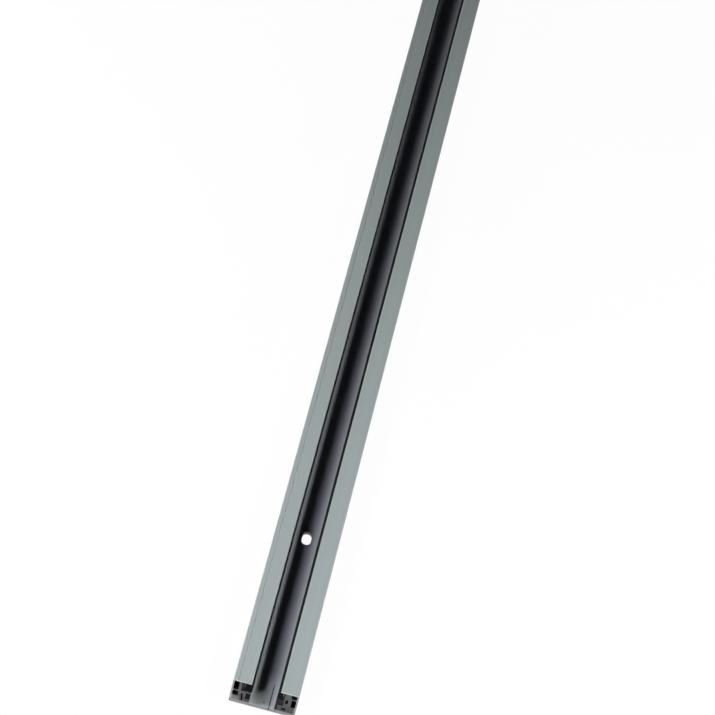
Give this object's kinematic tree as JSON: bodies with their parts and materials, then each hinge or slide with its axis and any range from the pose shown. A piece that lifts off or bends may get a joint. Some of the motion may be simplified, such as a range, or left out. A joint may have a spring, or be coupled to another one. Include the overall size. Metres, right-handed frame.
{
  "type": "lighting track",
  "caption": "Straight single-circuit lighting track: grey aluminium channel with a lengthwise adapter slot, black insulators, conductor strips and fixing slots in its back.",
  "frame": {"origin": "middle of the track's back face, which lies on the floor", "axes": "+X along the track, away from the end nearest the camera; +Y across it, towards the flange with the polarity line; +Z out of the slot"},
  "size_m": [1, 0.035, 0.019],
  "materials": {
    "aluminium": "satin anodised grey",
    "insulator": "black extruded plastic",
    "conductor": "tinned copper"
  },
  "bodies": {
    "root": {"track_body": "aluminium", "insulator_left": "insulator", "insulator_right": "insulator", "conductor_neutral": "conductor", "conductor_line": "conductor"}
  },
  "joints": []
}
